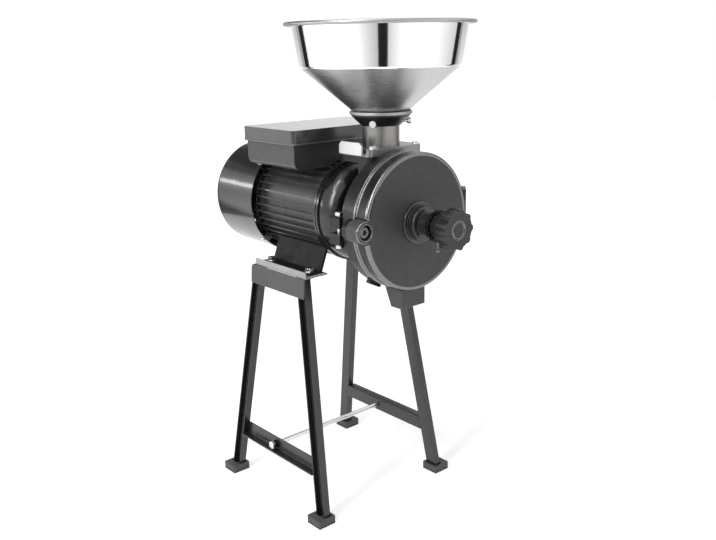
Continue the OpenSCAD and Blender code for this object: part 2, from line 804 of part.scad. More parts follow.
// Grinding housing: drum with its short back body, neck with bolt flange, throat, cast flange, ears and hinge
module housing() {
    neck_len = neck_rear_y - drum_rear_y;
    color("#1c1c1e") difference() {
        union() {
            on_axis(drum_rear_y) cylinder(r = drum_r, h = drum_depth);
            on_axis(back_rear_y) cylinder(r = neck_body_r, h = back_len + cut);
            on_axis(neck_rear_y) cylinder(r = feed_r + feed_wall, h = neck_len + cut);
            on_axis(neck_rear_y) cylinder(r = bell_nose_r, h = neck_flange_t);
            translate([0, hopper_y, cast_flange_z]) rounded_plate(flange_x, flange_dy, cast_flange_h, flange_corner);
            throat_block();
            translate([-flange_x / 2, drum_rear_y - cut, axis_h]) cube([flange_x, back_len + cut, neck_body_r]);
            translate([ear_x, joint_y + ear_t, axis_h]) rotate([90, 0, 0]) cylinder(r = ear_r, h = ear_t);
            side_web(ear_x, ear_r * 0.9, joint_y + ear_t, ear_t);
            clamp_ears();
            knuckles();
            drum_pad();
        }
        on_axis(drum_rear_y - wall) cylinder(r = drum_r - wall, h = drum_depth);
        difference() {
            on_axis(back_rear_y + cut) cylinder(r = neck_body_r - wall, h = back_len + cut);
            on_axis(neck_rear_y) cylinder(r = feed_r + feed_wall, h = neck_len + wall);
            throat_block();
        }
        on_axis(neck_rear_y - wall) cylinder(r = feed_r, h = neck_len + wall);
        on_axis(neck_rear_y + cut) cylinder(r = shaft_r + seat, h = wall + 2 * cut);
        translate([0, hopper_y, axis_h]) cylinder(r = feed_r, h = neck_body_r + cast_flange_h + cut);
        translate([ear_x, joint_y + ear_t + cut, axis_h]) rotate([90, 0, 0])
            cylinder(r = lug_bore + ear_bore_gap, h = ear_t + 2 * cut);
        outlet_opening();
        translate([-clamp_reach - cut, clamp_y - clamp_w / 2 - cut, axis_h + clamp_split_z - clamp_split / 2])
            cube([clamp_reach - neck_body_r + wall / 2, clamp_w + 2 * cut, clamp_split]);
        translate([clamp_x, clamp_y, axis_h - clamp_reach]) cylinder(r = clamp_bolt_r + seat, h = clamp_reach * 2);
        knuckle_bore();
        housing_bolt_places(neck_rear_y + cut) cylinder(r = flange_bolt_r + seat, h = wall * 2);
        bolt_grid() translate([0, 0, -cast_flange_h - cut]) cylinder(r = flange_bolt_r + seat, h = cast_flange_h * 2);
    }
}

// Upright block round the throat, from the feed screw up to the cast flange
module throat_block() {
    translate([0, hopper_y, axis_h]) rounded_plate(2 * throat_half, flange_dy * 0.8, neck_body_r, flange_corner);
}

module clamp_ears() {
    h = 2 * clamp_ear_h + clamp_split;
    translate([-clamp_reach, clamp_y - clamp_w / 2, axis_h + clamp_split_z - h / 2]) difference() {
        cube([clamp_reach - neck_body_r + wall, clamp_w, h]);
        for (z = [0, h]) translate([-cut, clamp_w / 2, z]) rotate([0, 45, 0])
            cube([ear_corner, clamp_w * 2, ear_corner], center = true);
    }
}

// Two hinge knuckles on the housing, with arms back to the drum
module knuckles() {
    for (z = [hinge_half + hinge_gap, -hinge_half - hinge_gap - hinge_knuckle])
        translate([0, 0, axis_h + z]) {
            translate([hinge_x, hinge_y, 0]) cylinder(r = hinge_r, h = hinge_knuckle);
            linear_extrude(hinge_knuckle) polygon([
                [hinge_x + hinge_r, hinge_y], [hinge_x + hinge_r, joint_y + hinge_r],
                [drum_r - wall, joint_y + drum_depth / 2], [drum_r - wall, joint_y + hinge_gap],
                [hinge_x - hinge_r / 2, joint_y + hinge_gap], [hinge_x - hinge_r, hinge_y]]);
        }
}

module knuckle_bore() {
    translate([hinge_x, hinge_y, axis_h - hinge_half * 3]) cylinder(r = hinge_pin_r + fit, h = hinge_half * 6);
}

module drum_pad() {
    translate([0, drum_rear_y, axis_h]) rotate([90, pad_angle, 0]) translate([drum_r - wall, -pad_w / 2, 0])
        cube([wall + pad_h, pad_w, wall]);
}

module outlet_opening() {
    translate([-outlet_w / 2, drum_rear_y - drum_depth + wall / 2, axis_h - drum_r - wall])
        cube([outlet_w, drum_depth - wall * 1.6, drum_r]);
}

// Chute below the drum: upright front wall, sloping rear wall, cut to the drum's curve
module outlet_chute() {
    top = axis_h - drum_r + wall;
    w = chute_wall;
    rear = chute_front + chute_d;
    color("#4c4c4e") difference() {
        chute_block(chute_w, [[chute_front, chute_bottom], [rear, chute_bottom], [rear, chute_bottom + w],
            [rear + chute_fin_d, top], [chute_front, top]]);
        chute_block(chute_w - 2 * w, [[chute_front + w, chute_bottom - cut], [rear - w, chute_bottom - cut],
            [rear - w, chute_bottom + w], [rear + chute_fin_d - w, top + cut], [chute_front + w, top + cut]]);
        on_axis(drum_rear_y + drum_depth) cylinder(r = drum_r + 2 * seat, h = drum_depth * 4);
        translate([-chute_w, chute_front - cut, axis_h - drum_r - seat])
            cube([chute_w * 2, joint_y - chute_front + cut + seat, drum_r]);
    }
}

// Block between the chute's sides, from an outline along the motor axis and upward
module chute_block(w, points) {
    translate([-w / 2, 0, 0]) rotate([90, 0, 90]) linear_extrude(w) polygon(points);
}

module clamp_bolt() {
    top = axis_h + clamp_split_z + clamp_ear_h + clamp_split / 2;
    len = 2 * clamp_ear_h + clamp_split;
    color("gainsboro") translate([clamp_x, clamp_y, top]) {
        hex_head(hex_mid, hex_h);
        translate([0, 0, -len - hex_h]) cylinder(r = clamp_bolt_r, h = len + hex_h);
        translate([0, 0, -len - hex_h - seat]) hex_head(hex_mid, hex_h);
    }
}

module bolt_grid() {
    for (sx = [-1, 1], sy = [-1, 1])
        translate([sx * flange_bolt_x, hopper_y + sy * flange_bolt_y, inlet_z]) children();
}

// Inlet flange with the gate slot and the neck tube
module inlet_flange() {
    color("#b0b0b0") translate([0, hopper_y, inlet_z]) difference() {
        union() {
            rounded_plate(flange_x, flange_dy, inlet_h, flange_corner);
            cylinder(r = neck_r, h = inlet_h + neck_tube_len);
        }
        translate([0, -hopper_y, -inlet_z]) on_axis(drum_rear_y + seat) cylinder(r = drum_r + seat, h = drum_depth);
        translate([0, 0, -cut]) cylinder(r = feed_r, h = inlet_h + 2 * cut);
        translate([0, 0, inlet_h]) cylinder(r = neck_r - neck_tube_wall, h = neck_tube_len + cut);
        translate([-flange_x, -gate_half - gate_gap, gate_floor])
            cube([flange_x + gate_in + gate_gap, 2 * (gate_half + gate_gap), gate_slot]);
        for (sx = [-1, 1], sy = [-1, 1]) translate([sx * flange_bolt_x, sy * flange_bolt_y, -cut])
            cylinder(r = flange_bolt_r + seat, h = inlet_h + 2 * cut);
    }
}

module flange_bolts() {
    color("gainsboro") bolt_grid() {
        translate([0, 0, inlet_h]) hex_head(hex_small, hex_h - thin_head);
        translate([0, 0, -cast_flange_h]) cylinder(r = flange_bolt_r, h = cast_flange_h + inlet_h);
    }
}

// Feed gate: a flat slide with an upturned handle
module feed_gate() {
    color("whitesmoke") translate([0, hopper_y, inlet_z + gate_floor + seat]) {
        translate([-gate_handle_x, -gate_half, 0]) cube([gate_handle_x + gate_in, 2 * gate_half, gate_t]);
        translate([-gate_handle_x - plate_t, 0, 0]) rotate([90, 0, 90]) linear_extrude(plate_t) difference() {
            w = gate_half + gate_wing;
            translate([-w, 0]) square([2 * w, gate_handle_h]);
            for (sx = [-1, 1]) translate([sx * w, gate_handle_h]) rotate(45)
                square(gate_handle_corner, center = true);
        }
    }
}

// Front cover: a shallow cap with the closing lug, the middle hinge knuckle and the screw sleeve
module front_cover() {
    face_y = joint_y - cover_depth;
    color("#4b4b4d") difference() {
        union() {
            on_axis(joint_y - seat) rotate_extrude() {
                square([drum_r, cover_depth - cover_round - seat]);
                square([drum_r - cover_round, cover_depth - seat]);
                translate([drum_r - cover_round, cover_depth - cover_round - seat]) circle(cover_round);
            }
            translate([ear_x, joint_y - seat, axis_h]) rotate([90, 0, 0]) cylinder(r = lug_r, h = cover_depth - seat);
            side_web(ear_x, lug_r * 0.9, joint_y - seat, cover_depth - cover_round);
            translate([hinge_x, hinge_y, axis_h - hinge_half]) cylinder(r = hinge_r, h = hinge_half * 2);
            translate([drum_r - wall * 2, hinge_y - hinge_r, axis_h - hinge_half])
                cube([hinge_x - drum_r + wall * 2, hinge_r * 1.5, hinge_half * 2]);
            on_axis(face_y + cut) cylinder(r = boss_ring_r, h = boss_ring_h + cut);
            on_axis(face_y + cut) cylinder(r = boss_r, h = boss_h + cut);
            on_axis(face_y + cut) cylinder(r = sleeve_r, h = sleeve_h + cut);
        }
        on_axis(joint_y + cut) cylinder(r = drum_r - wall, h = cover_depth - cover_wall + cut);
        on_axis(joint_y) cylinder(r = screw_r + fit, h = cover_depth * 4);
        translate([ear_x, joint_y + cut, axis_h]) rotate([90, 0, 0])
            cylinder(r = lug_bore + fit, h = cover_depth + 2 * cut);
        translate([ear_x, face_y + lug_counterbore_depth, axis_h]) rotate([90, 0, 0])
            cylinder(r = lug_counterbore, h = lug_counterbore_depth + cut);
        knuckle_bore();
        translate([-outlet_w / 2, chute_front + chute_wall, axis_h - drum_r - wall])
            cube([outlet_w, joint_y - chute_front - 2 * chute_wall, wall * 3]);
    }
}

module hinge_pin() {
    len = 2 * (hinge_half + hinge_gap + hinge_knuckle);
    color("silver") translate([hinge_x, hinge_y, axis_h - len / 2]) {
        translate([0, 0, -plate_t]) cylinder(r = hinge_pin_r, h = len + plate_t);
        translate([0, 0, len]) hex_head(hex_mid, hex_h);
        translate([0, 0, -plate_t - hex_h]) hex_head(hex_mid, hex_h + plate_t - seat);
    }
}

// Adjusting screw through the cover sleeve, its tip against the hub of the rotating burr
module adjusting_screw() {
    color("silver") on_axis(screw_tip_y)
        cylinder(r = screw_r, h = screw_tip_y - knob_front_y - knob_recess - knob_gap - seat);
}

// Lobed knob on a ribbed hub
module adjusting_knob() {
    color("#39393b") on_axis(knob_hub_y) difference() {
        union() {
            linear_extrude(knob_hub_h) {
                circle(knob_hub_r - knob_rib_r);
                for (i = [0:knob_ribs - 1]) rotate(i * 360 / knob_ribs)
                    translate([knob_hub_r - knob_rib_r, 0]) circle(knob_rib_r, $fn = 16);
            }
            translate([0, 0, knob_hub_h]) linear_extrude(knob_h) {
                circle(knob_r - knob_lobe_r / 2);
                for (i = [0:knob_lobes - 1]) rotate(i * 360 / knob_lobes)
                    translate([knob_r - knob_lobe_r, 0]) circle(knob_lobe_r, $fn = 32);
            }
        }
        translate([0, 0, -cut]) cylinder(r = screw_r + fit, h = knob_hub_h + knob_h - knob_recess - knob_gap + cut);
        translate([0, 0, knob_hub_h + knob_h - knob_recess]) difference() {
            cylinder(r = knob_recess_r, h = knob_recess + cut);
            translate([0, 0, -cut]) cylinder(r = knob_recess_r * 2 / 3, h = knob_recess + 3 * cut);
        }
    }
}

// Lock ring on the screw, with a notched edge
module lock_ring() {
    color("#2c2c2e") on_axis(lock_y) difference() {
        cylinder(r = lock_r, h = lock_t);
        translate([0, 0, -cut]) cylinder(r = screw_r + 2 * fit, h = lock_t + 2 * cut);
        for (i = [0:lock_notches - 1]) rotate([0, 0, (i + 0.5) * 360 / lock_notches])
            translate([lock_r + notch_out, 0, -cut]) cylinder(r = notch_r, h = lock_t + 2 * cut, $fn = 16);
    }
}

module lock_lever() {
    color("gainsboro") translate([0, lock_y - lock_t / 2, axis_h - lock_r - seat]) rotate([180, 0, 0]) {
        cylinder(r = lever_r, h = lever_len);
        translate([0, 0, lever_len]) sphere(ball_r);
    }
}

module closing_bolt() {
    color("silver") translate([ear_x, bolt_seat_y, axis_h]) rotate([-90, 0, 0])
        cylinder(r = lug_bore, h = cover_depth - lug_counterbore_depth + ear_t);
}

module closing_bolt_head() {
    color("silver") translate([ear_x, bolt_seat_y - seat, axis_h]) rotate([90, 0, 0]) difference() {
        cylinder(r = lug_counterbore - bolt_head_gap, h = bolt_head_t);
        translate([0, 0, bolt_head_t / 3]) cylinder(r = lug_bore, h = bolt_head_t, $fn = 6);
    }
}

// Spun hopper: rolled rim, tapered band, cone, bottom ring and spigot, turned from one outline
module hopper() {
    band_z = hopper_top - rim_roll - band_h;
    cone_z = band_z - cone_h;
    rim_z = hopper_top - rim_roll;
    t = hopper_t;
    roll_steps = 14;
    roll_start = asin(t / 2 / rim_roll);
    roll = [for (i = [0:roll_steps]) let (a = 180 - roll_start - i * (360 - 2 * roll_start) / roll_steps)
        [hopper_r - rim_roll + rim_roll * cos(a), rim_z + rim_roll * sin(a)]];
    color("silver") translate([0, hopper_y, 0]) rotate_extrude($fn = 128)
        polygon(concat([[band_top_r - t, rim_z + t / 2]], roll, [[band_top_r, rim_z - t / 2],
            [crease_r, band_z], [cone_bottom_r, cone_z], [ring_r, cone_z], [ring_r, cone_z - ring_h],
            [spigot_r, cone_z - ring_h], [spigot_r, cone_z - spigot_len], [spigot_r - t, cone_z - spigot_len],
            [spigot_r - t, cone_z - t / 2], [cone_bottom_r - t, cone_z + t / 2],
            [crease_r - t, band_z + t / 2]]));
}

// Black collar under the hopper ring, closed onto the neck tube by three thumb screws
module hopper_collar() {
    bottom_r = neck_r + seat + collar_lip;
    color("#222") translate([0, hopper_y, collar_z]) difference() {
        rotate_extrude() polygon([[neck_r + seat, 0], [bottom_r, 0], [collar_top_r, collar_h - collar_band],
            [collar_top_r, collar_h], [neck_r + seat, collar_h]]);
        for (a = thumb_angles) rotate([0, 0, a]) translate([neck_r - cut, 0, thumb_z]) rotate([0, 90, 0])
            cylinder(r = thumb_r + fit, h = collar_top_r);
    }
}

module thumb_screw(i) {
    color("gainsboro") translate([0, hopper_y, collar_z + thumb_z]) rotate([0, 0, thumb_angles[i]])
        translate([neck_r + seat, 0, 0]) rotate([0, 90, 0]) {
            cylinder(r = thumb_r, h = thumb_neck + thumb_head_h);
            translate([0, 0, thumb_neck + thumb_overlap]) cylinder(r = thumb_head_r, h = thumb_head_h);
        }
}

foot(true, true);  // foot_rear_left
foot(true, false);  // foot_front_left
foot(false, true);  // foot_rear_right
foot(false, false);  // foot_front_right
leg(true, true);  // leg_rear_left
leg(true, false);  // leg_front_left
leg(false, true);  // leg_rear_right
leg(false, false);  // leg_front_right
header(true);  // header_left
header(false);  // header_right
brace(true);  // brace_left
brace(false);  // brace_right
tie_rod();
tie_nuts();
base_angle(true);  // base_angle_left
base_angle(false);  // base_angle_right
motor_foot(true);  // motor_foot_left
motor_foot(false);  // motor_foot_right
foot_bolts();
motor_frame();
front_bell();
rear_bell();
bearing(front_bearing_y);  // front_bearing
bearing(rear_bearing_y);  // rear_bearing
stator();
fan_cover();
fan_cover_screws();
capacitor_box();
capacitor_box_lid();
capacitors();
power_switch();
switch_rocker();
cable_gland();
housing_bolts();
motor_shaft();
rotor_core();
cooling_fan();
feed_auger();
rotating_burr();
housing();
fixed_burr();
outlet_chute();
clamp_bolt();
inlet_flange();
flange_bolts();
feed_gate();
front_cover();
hinge_pin();
adjusting_screw();
adjusting_knob();
lock_ring();
lock_lever();
closing_bolt();
closing_bolt_head();
hopper();
hopper_collar();
thumb_screw(0);  // thumb_screw_1
thumb_screw(1);  // thumb_screw_2
thumb_screw(2);  // thumb_screw_3
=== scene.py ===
import math

import bpy
import numpy as np
from mathutils import Matrix, Vector


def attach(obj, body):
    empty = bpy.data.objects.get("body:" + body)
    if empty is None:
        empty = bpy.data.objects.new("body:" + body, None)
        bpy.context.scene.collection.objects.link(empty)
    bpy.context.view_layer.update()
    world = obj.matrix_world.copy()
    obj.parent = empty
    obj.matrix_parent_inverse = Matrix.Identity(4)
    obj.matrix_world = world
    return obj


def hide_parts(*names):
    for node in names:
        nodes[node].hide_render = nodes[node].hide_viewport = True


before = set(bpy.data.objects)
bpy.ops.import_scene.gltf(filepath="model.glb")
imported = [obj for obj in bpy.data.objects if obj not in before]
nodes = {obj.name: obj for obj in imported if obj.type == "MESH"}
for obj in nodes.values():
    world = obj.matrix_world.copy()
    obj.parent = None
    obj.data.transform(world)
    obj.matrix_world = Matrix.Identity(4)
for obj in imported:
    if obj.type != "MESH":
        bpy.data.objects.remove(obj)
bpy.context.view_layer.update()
print("frame loaded:", len(nodes), "nodes")

axisHeight = 0.4985  # motor axis above the floor
hopperAxisY = -0.0925  # hopper axis along the motor


# where the photograph was taken from, in metres and degrees; focal length, centre and size in its pixels
viewpoint = {"place": (-0.8847, -1.0586, 0.7663), "azimuth": -40.7, "pitch": 15.3, "roll": -1.1,
             "focal": 839.5, "centre": (357.4, 270.1), "picture": (716, 540), "sensor": 36.0}


def placeCamera(view):
    # the three camera axes from azimuth, downward pitch and roll
    azimuth, pitch, roll = (math.radians(view[k]) for k in ("azimuth", "pitch", "roll"))
    back = np.array([math.sin(azimuth) * math.cos(pitch), -math.cos(azimuth) * math.cos(pitch),
                     math.sin(pitch)])
    right = np.array([math.cos(azimuth), math.sin(azimuth), 0.0])
    up = np.cross(back, right)
    axes = np.stack([right * math.cos(roll) + up * math.sin(roll),
                     -right * math.sin(roll) + up * math.cos(roll), back], axis=1)
    wide, high = view["picture"]
    data = bpy.data.cameras.new("millCamera")
    data.sensor_width = view["sensor"]
    data.lens = view["focal"] / wide * view["sensor"]
    data.shift_x = (wide / 2 - view["centre"][0]) / wide
    data.shift_y = (view["centre"][1] - high / 2) / wide
    cam = bpy.data.objects.new("millCamera", data)
    bpy.context.scene.collection.objects.link(cam)
    matrix = Matrix(axes.tolist()).to_4x4()
    matrix.translation = Vector(view["place"])
    cam.matrix_world = matrix
    bpy.context.scene.camera = cam


placeCamera(viewpoint)


def nodeTree(name):
    # a new material, its tree, its shader and the place on the object
    mat = bpy.data.materials.new(name)
    mat.use_nodes = True
    tree = mat.node_tree
    shader = tree.nodes["Principled BSDF"]
    coords = tree.nodes.new("ShaderNodeTexCoord")
    return mat, tree, shader, coords.outputs["Object"]


def noiseField(tree, place, scale, detail, stretch=(1, 1, 1), rough=0.55):
    # noise over the object's own coordinates, stretched by a Mapping node
    mapping = tree.nodes.new("ShaderNodeMapping")
    mapping.inputs["Scale"].default_value = stretch
    tree.links.new(place, mapping.inputs["Vector"])
    noise = tree.nodes.new("ShaderNodeTexNoise")
    noise.inputs["Scale"].default_value = scale
    noise.inputs["Detail"].default_value = detail
    noise.inputs["Roughness"].default_value = rough
    tree.links.new(mapping.outputs[0], noise.inputs["Vector"])
    return noise.outputs["Fac"]


def rampBetween(tree, field, low, high, start=0.3, end=0.7):
    # colour between low and high where the field runs from start to end
    ramp = tree.nodes.new("ShaderNodeValToRGB")
    ramp.color_ramp.elements[0].position = start
    ramp.color_ramp.elements[1].position = end
    ramp.color_ramp.elements[0].color = (*low, 1)
    ramp.color_ramp.elements[1].color = (*high, 1)
    tree.links.new(field, ramp.inputs[0])
    return ramp.outputs[0]


def levelBetween(tree, field, low, high, start=0.3, end=0.7):
    # the same for a plain number
    level = tree.nodes.new("ShaderNodeMapRange")
    level.inputs["From Min"].default_value = start
    level.inputs["From Max"].default_value = end
    level.inputs["To Min"].default_value = low
    level.inputs["To Max"].default_value = high
    tree.links.new(field, level.inputs["Value"])
    return level.outputs[0]


def addFields(tree, first, second, share):
    # first + second times share
    total = tree.nodes.new("ShaderNodeMath")
    total.operation = "MULTIPLY_ADD"
    total.inputs[1].default_value = share
    tree.links.new(second, total.inputs[0])
    tree.links.new(first, total.inputs[2])
    return total.outputs[0]


def tint(colour, share):
    # colour times share
    return tuple(min(1, c * share) for c in colour)


def roughen(tree, shader, field, rough, spread):
    # roughness strays between two shares of its own value
    low, high = spread
    tree.links.new(levelBetween(tree, field, rough * low, rough * high), shader.inputs["Roughness"])


def bumpFrom(tree, field, shader, strength, distance):
    # the field as a relief, distance high at full strength
    bump = tree.nodes.new("ShaderNodeBump")
    bump.inputs["Strength"].default_value = strength
    bump.inputs["Distance"].default_value = distance
    tree.links.new(field, bump.inputs["Height"])
    tree.links.new(bump.outputs[0], shader.inputs["Normal"])


edgeLook = {"samples": 4, "lean": (0.86, 0.995)}  # cosine of the lean on a full edge and on none


def edgeMask(tree, width):
    # 1 on outside edges: how far the bevelled normal leans from the plain one
    bevel = tree.nodes.new("ShaderNodeBevel")
    bevel.samples = edgeLook["samples"]
    bevel.inputs["Radius"].default_value = width
    geometry = tree.nodes.new("ShaderNodeNewGeometry")
    dot = tree.nodes.new("ShaderNodeVectorMath")
    dot.operation = "DOT_PRODUCT"
    tree.links.new(bevel.outputs[0], dot.inputs[0])
    tree.links.new(geometry.outputs["Normal"], dot.inputs[1])
    return levelBetween(tree, dot.outputs["Value"], 1.0, 0.0, *edgeLook["lean"])


def wearEdges(tree, shader, base, colour, edge, look):
    # the paint's own colour, and on outside edges a brighter one: colour times edge, and a little more
    worn = tree.nodes.new("ShaderNodeMix")
    worn.data_type = "RGBA"
    worn.inputs[7].default_value = (*(min(1, c * edge + look["edgeLift"]) for c in colour), 1)
    tree.links.new(base, worn.inputs[6])
    tree.links.new(edgeMask(tree, look["edgeWidth"]), worn.inputs[0])
    tree.links.new(worn.outputs[2], shader.inputs["Base Color"])


def glaze(shader, shine, coat, coatRough):
    # how much the paint mirrors, and the clear coat on it
    shader.inputs["Specular IOR Level"].default_value = shine
    shader.inputs["Coat Weight"].default_value = coat
    shader.inputs["Coat Roughness"].default_value = coatRough


# a noise is given by how many waves a metre holds and by its detail
paintLook = {"cloud": (22, 4), "gloss": (60, 4), "peelDetail": 2, "spread": (0.85, 1.2), "edgeWidth": 0.0012,
             "edgeLift": 0.008, "coatRough": 0.12, "relief": 0.0003}


def paintedFinish(name, colour, rough=0.35, peel=0.25, peelScale=520, edge=1.6, coat=0.0, dust=0.12,
                  shine=0.5):
    # sprayed paint: fine orange peel, slight cloudiness, thinner and brighter on the edges
    mat, tree, shader, place = nodeTree(name)
    cloud = noiseField(tree, place, *paintLook["cloud"])
    base = rampBetween(tree, cloud, tint(colour, 1 - dust), tint(colour, 1 + dust))
    wearEdges(tree, shader, base, colour, edge, paintLook)
    roughen(tree, shader, noiseField(tree, place, *paintLook["gloss"]), rough, paintLook["spread"])
    glaze(shader, shine, coat, paintLook["coatRough"])
    orangePeel = noiseField(tree, place, peelScale, paintLook["peelDetail"])
    bumpFrom(tree, orangePeel, shader, peel, paintLook["relief"])
    return mat


castLook = {"lumps": (75, 3), "lumpShare": 1.5, "grainDetail": 5, "grainRough": 0.7, "tone": (0.8, 1.25),
            "spread": (0.8, 1.25), "edgeWidth": 0.0018, "edgeLift": 0.01, "coatRough": 0.15,
            "relief": 0.0004}


def castFinish(name, colour, rough=0.42, grain=0.5, grainScale=420, edge=1.8, coat=0.0, shine=0.5):
    # painted sand casting: lumpy at two scales, darker in the hollows of the fine one
    mat, tree, shader, place = nodeTree(name)
    fine = noiseField(tree, place, grainScale, castLook["grainDetail"], rough=castLook["grainRough"])
    lumps = noiseField(tree, place, *castLook["lumps"])
    base = rampBetween(tree, fine, *(tint(colour, share) for share in castLook["tone"]))
    wearEdges(tree, shader, base, colour, edge, castLook)
    roughen(tree, shader, lumps, rough, castLook["spread"])
    glaze(shader, shine, coat, castLook["coatRough"])
    bumpFrom(tree, addFields(tree, fine, lumps, castLook["lumpShare"]), shader, grain, castLook["relief"])
    return mat


metalLook = {"detail": 4, "spread": (0.8, 1.3), "relief": 0.0001}


def steelFinish(name, colour, rough=0.25, stretch=(1, 1, 1), scale=300, streak=0.15, bump=0.05):
    # bare or plated metal: streaks along the way it was turned, drawn or brushed
    mat, tree, shader, place = nodeTree(name)
    streaks = noiseField(tree, place, scale, metalLook["detail"], stretch)
    base = rampBetween(tree, streaks, tint(colour, 1 - streak), tint(colour, 1 + streak))
    tree.links.new(base, shader.inputs["Base Color"])
    shader.inputs["Metallic"].default_value = 1.0
    roughen(tree, shader, streaks, rough, metalLook["spread"])
    bumpFrom(tree, streaks, shader, bump, metalLook["relief"])
    return mat


mouldLook = {"cloud": (35, 3), "grainDetail": 3, "tone": (0.85, 1.15), "spread": (0.9, 1.1),
             "relief": 0.0002}


def mouldedFinish(name, colour, rough=0.5, grain=0.2, grainScale=900):
    # moulded plastic or rubber: fine spark-eroded grain and a little bloom
    mat, tree, shader, place = nodeTree(name)
    cloud = noiseField(tree, place, *mouldLook["cloud"])
    base = rampBetween(tree, cloud, *(tint(colour, share) for share in mouldLook["tone"]))
    tree.links.new(base, shader.inputs["Base Color"])
    roughen(tree, shader, cloud, rough, mouldLook["spread"])
    sparks = noiseField(tree, place, grainScale, mouldLook["grainDetail"])
    bumpFrom(tree, sparks, shader, grain, mouldLook["relief"])
    return mat


# sprayed paints; colours are linear, peel and grain are the depth of the relief, edge the gain on worn edges
paints = {
    "standPaint": dict(colour=(0.018, 0.018, 0.019), rough=0.30, peel=0.15, peelScale=600, edge=3.4,
                       coat=0.3),
    "plateGrey": dict(colour=(0.070, 0.070, 0.072), rough=0.36, peel=0.2, peelScale=600, edge=2.0),
    "bracketPaint": dict(colour=(0.010, 0.010, 0.011), rough=0.5, peel=0.2, peelScale=500, edge=2.5,
                         shine=0.2),
    "flangeGrey": dict(colour=(0.40, 0.40, 0.405), rough=0.32, peel=0.15, peelScale=600, edge=1.5),
    "fanCoverPaint": dict(colour=(0.010, 0.010, 0.011), rough=0.3, peel=0.01, peelScale=420, edge=2.2,
                          coat=1.0, dust=0.03),
    "boxPaint": dict(colour=(0.056, 0.056, 0.058), rough=0.32, peel=0.12, peelScale=560, edge=2.0, coat=0.2),
    "lidPaint": dict(colour=(0.050, 0.050, 0.052), rough=0.2, peel=0.06, peelScale=560, edge=2.2, coat=0.8),
    # painted highlight: the lid's bead wears a lighter copy of the lid's paint
    "beadGloss": dict(colour=(0.10, 0.10, 0.102), rough=0.16, peel=0.04, peelScale=420, edge=2.0, coat=0.8),
    "bossGloss": dict(colour=(0.022, 0.022, 0.023), rough=0.2, peel=0.08, peelScale=420, edge=2.0, coat=0.5),
    "collarPaint": dict(colour=(0.012, 0.012, 0.013), rough=0.3, peel=0.1, peelScale=500, edge=2.4),
}
# painted castings and bare iron
castings = {
    "finPaint": dict(colour=(0.030, 0.030, 0.031), rough=0.38, grain=0.2, grainScale=500, edge=2.0,
                     coat=0.2),
    "bellPaint": dict(colour=(0.008, 0.008, 0.009), rough=0.24, grain=0.12, grainScale=380, edge=2.6,
                      coat=0.4),
    "burrIron": dict(colour=(0.10, 0.10, 0.10), rough=0.5, grain=0.6, grainScale=500, edge=2.0),
    "housingPaint": dict(colour=(0.013, 0.013, 0.014), rough=0.38, grain=0.35, edge=3.0, coat=0.1,
                         shine=0.3),
    "coverPaint": dict(colour=(0.058, 0.058, 0.060), rough=0.48, grain=0.3, grainScale=520, edge=2.2),
    # painted shade: the cover's side band wears a darker copy of the cover's own paint
    "sidePaint": dict(colour=(0.010, 0.010, 0.011), rough=0.34, grain=0.2, edge=2.0, shine=0.35),
    "chutePaint": dict(colour=(0.066, 0.066, 0.068), grain=0.4, grainScale=520, edge=2.2),
}
# bare, plated and blackened metal; stretch says how fine the streaks are along x, y and z
metals = {
    "zincPlate": dict(colour=(0.72, 0.72, 0.70), rough=0.24, scale=700, streak=0.12, bump=0.08),
    "gunMetal": dict(colour=(0.16, 0.16, 0.165), rough=0.2, scale=700, bump=0.1),
    "blackenedSteel": dict(colour=(0.05, 0.05, 0.052), rough=0.35, scale=500, streak=0.25, bump=0.15),
    "turnedSteel": dict(colour=(0.55, 0.55, 0.56), rough=0.3, stretch=(1, 12, 1), scale=500, streak=0.2,
                        bump=0.15),
    "copperWinding": dict(colour=(0.55, 0.27, 0.12), rough=0.4, stretch=(1, 1, 14), streak=0.3, bump=0.3),
    "capacitorCan": dict(colour=(0.72, 0.72, 0.73), rough=0.34, stretch=(10, 1, 1), bump=0.1),
    "glossTrim": dict(colour=(0.21, 0.21, 0.215), rough=0.2, streak=0.08, bump=0.02),
    "dishSteel": dict(colour=(0.17, 0.17, 0.175), rough=0.2, streak=0.1, bump=0.03),
    "neckMetal": dict(colour=(0.29, 0.285, 0.275), rough=0.32, stretch=(9, 9, 0.7), scale=120, streak=0.14),
    "gateMetal": dict(colour=(0.70, 0.70, 0.71), rough=0.42, stretch=(1, 30, 1), scale=200, streak=0.06,
                      bump=0.1),
    "hopperSteel": dict(colour=(0.90, 0.90, 0.905), rough=0.07, stretch=(1, 1, 45), scale=60, streak=0.03,
                        bump=0.012),
    # painted shade: the cone faces down, and its steel is a darker copy of the band's
    "coneSteel": dict(colour=(0.60, 0.60, 0.605), rough=0.30, stretch=(1, 1, 45), scale=60, streak=0.015,
                      bump=0.004),
    "ringSteel": dict(colour=(0.40, 0.40, 0.40), rough=0.45, stretch=(1, 1, 45), scale=60, streak=0.08,
                      bump=0.08),
    # painted shade: a dark line of steel in the fillet just under the hopper's rolled rim
    "seamSteel": dict(colour=(0.12, 0.12, 0.122), rough=0.5, stretch=(1, 1, 45), scale=60, streak=0.05,
                      bump=0.03),
    # painted shade: the rolled rim's steel is darker than the band's, though both are the same sheet
    "rimSteel": dict(colour=(0.42, 0.42, 0.425), rough=0.38, stretch=(1, 1, 45), scale=60, streak=0.05,
                     bump=0.03),
}
